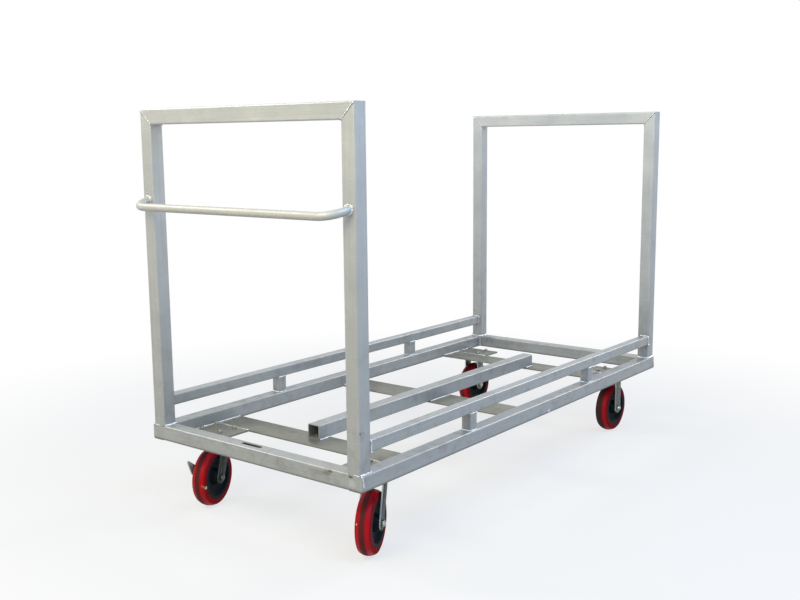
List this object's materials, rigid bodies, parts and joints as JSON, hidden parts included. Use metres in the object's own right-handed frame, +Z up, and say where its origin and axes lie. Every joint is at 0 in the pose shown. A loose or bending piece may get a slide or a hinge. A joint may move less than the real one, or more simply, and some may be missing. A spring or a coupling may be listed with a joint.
{
  "type": "table cart",
  "caption": "Open welded tube cart for moving stacked tables: rectangular end frames, raised side rails, bent push handle, braked swivel casters at one end, rigid casters at the other.",
  "frame": {"origin": "on the floor, below the middle of the cart's box", "axes": "+Z up, +X along the length away from the push handle, +Y to the left of someone pushing it"},
  "size_m": [2.0873, 0.9398, 1.3716],
  "materials": {
    "frame_metal": "satin mill finish, welded",
    "caster_steel": "zinc plated, dulled",
    "bright_fastener": "bright zinc",
    "bearing_steel": "ground",
    "core_plastic": "moulded black",
    "tread_urethane": "moulded red polyurethane, worn in the middle",
    "brake_rubber": "moulded"
  },
  "bodies": {
    "frame": {"base_side_rail_left": "frame_metal", "base_side_rail_right": "frame_metal", "side_rail_end_caps": "frame_metal", "base_end_rail_handle": "frame_metal", "base_end_rail_far": "frame_metal", "cross_bar_handle": "frame_metal", "cross_bar_middle": "frame_metal", "cross_bar_far": "frame_metal", "caster_pads_handle": "frame_metal", "caster_pads_far": "frame_metal", "centre_load_rail": "frame_metal", "corner_post_handle_left": "frame_metal", "corner_post_handle_right": "frame_metal", "corner_post_far_left": "frame_metal", "corner_post_far_right": "frame_metal", "end_frame_top_rail_handle": "frame_metal", "end_frame_top_rail_far": "frame_metal", "load_rail_left": "frame_metal", "load_rail_right": "frame_metal", "load_rail_spacers_left": "frame_metal", "load_rail_spacers_right": "frame_metal", "push_handle": "frame_metal", "caster_bolts": "bright_fastener", "caster_nuts": "bright_fastener", "swivel_plate_left": "caster_steel", "swivel_plate_right": "caster_steel", "swivel_balls_left": "bearing_steel", "swivel_balls_right": "bearing_steel", "kingpin_left": "bright_fastener", "kingpin_right": "bright_fastener", "rigid_fork_left": "caster_steel", "rigid_fork_right": "caster_steel", "axle_bolts_far": "bright_fastener", "axle_nuts_far": "bright_fastener", "axle_bushings_far": "bearing_steel"},
    "swivel_left": {"swivel_fork_left": "caster_steel", "axle_bolt_handle_left": "bright_fastener", "axle_nut_handle_left": "bright_fastener", "axle_bushing_handle_left": "bearing_steel", "brake_bracket": "caster_steel", "brake_pivot_pin": "bright_fastener"},
    "swivel_right": {"swivel_fork_right": "caster_steel", "axle_bolt_handle_right": "bright_fastener", "axle_nut_handle_right": "bright_fastener", "axle_bushing_handle_right": "bearing_steel"},
    "wheel_handle_left": {"wheel_tread_handle_left": "tread_urethane", "wheel_core_handle_left": "core_plastic", "wheel_bearing_handle_left": "bearing_steel"},
    "wheel_handle_right": {"wheel_tread_handle_right": "tread_urethane", "wheel_core_handle_right": "core_plastic", "wheel_bearing_handle_right": "bearing_steel"},
    "wheel_far_left": {"wheel_tread_far_left": "tread_urethane", "wheel_core_far_left": "core_plastic", "wheel_bearing_far_left": "bearing_steel"},
    "wheel_far_right": {"wheel_tread_far_right": "tread_urethane", "wheel_core_far_right": "core_plastic", "wheel_bearing_far_right": "bearing_steel"},
    "brake_lever": {"brake_lever": "caster_steel"},
    "brake_plunger": {"brake_plunger": "bright_fastener", "brake_pad": "brake_rubber"}
  },
  "joints": [
    {"name": "swivel_left_turn", "type": "hinge", "parent": "frame", "child": "swivel_left", "pos_m": [-0.76995, 0.35895, 0.25405], "axis": [0, 0, 1], "continuous": true},
    {"name": "wheel_handle_left_spin", "type": "hinge", "parent": "swivel_left", "child": "wheel_handle_left", "pos_m": [-0.81776, 0.34433, 0.1016], "axis": [-0.2924, 0.9563, 0], "continuous": true},
    {"name": "swivel_right_turn", "type": "hinge", "parent": "frame", "child": "swivel_right", "pos_m": [-0.76995, -0.35895, 0.25405], "axis": [0, 0, 1], "continuous": true},
    {"name": "wheel_handle_right_spin", "type": "hinge", "parent": "swivel_right", "child": "wheel_handle_right", "pos_m": [-0.81598, -0.37849, 0.1016], "axis": [-0.3907, 0.9205, 0], "continuous": true},
    {"name": "wheel_far_left_spin", "type": "hinge", "parent": "frame", "child": "wheel_far_left", "pos_m": [0.85065, 0.35895, 0.1016], "axis": [0, 1, 0], "continuous": true},
    {"name": "wheel_far_right_spin", "type": "hinge", "parent": "frame", "child": "wheel_far_right", "pos_m": [0.85065, -0.35895, 0.1016], "axis": [0, 1, 0], "continuous": true},
    {"name": "brake_lever_press", "type": "hinge", "parent": "swivel_left", "child": "brake_lever", "pos_m": [-0.82354, 0.39401, 0.128], "axis": [0.2924, -0.9563, 0], "range_deg": [0, 45]},
    {"name": "brake_plunger_slide", "type": "slide", "parent": "swivel_left", "child": "brake_plunger", "axis": [0.2924, -0.9563, 0], "range_m": [0, 0.0018]}
  ],
  "couplings": [
    {"joint": "brake_plunger_slide", "follows": "brake_lever_press", "m_per_rad": 0.0022916}
  ]
}
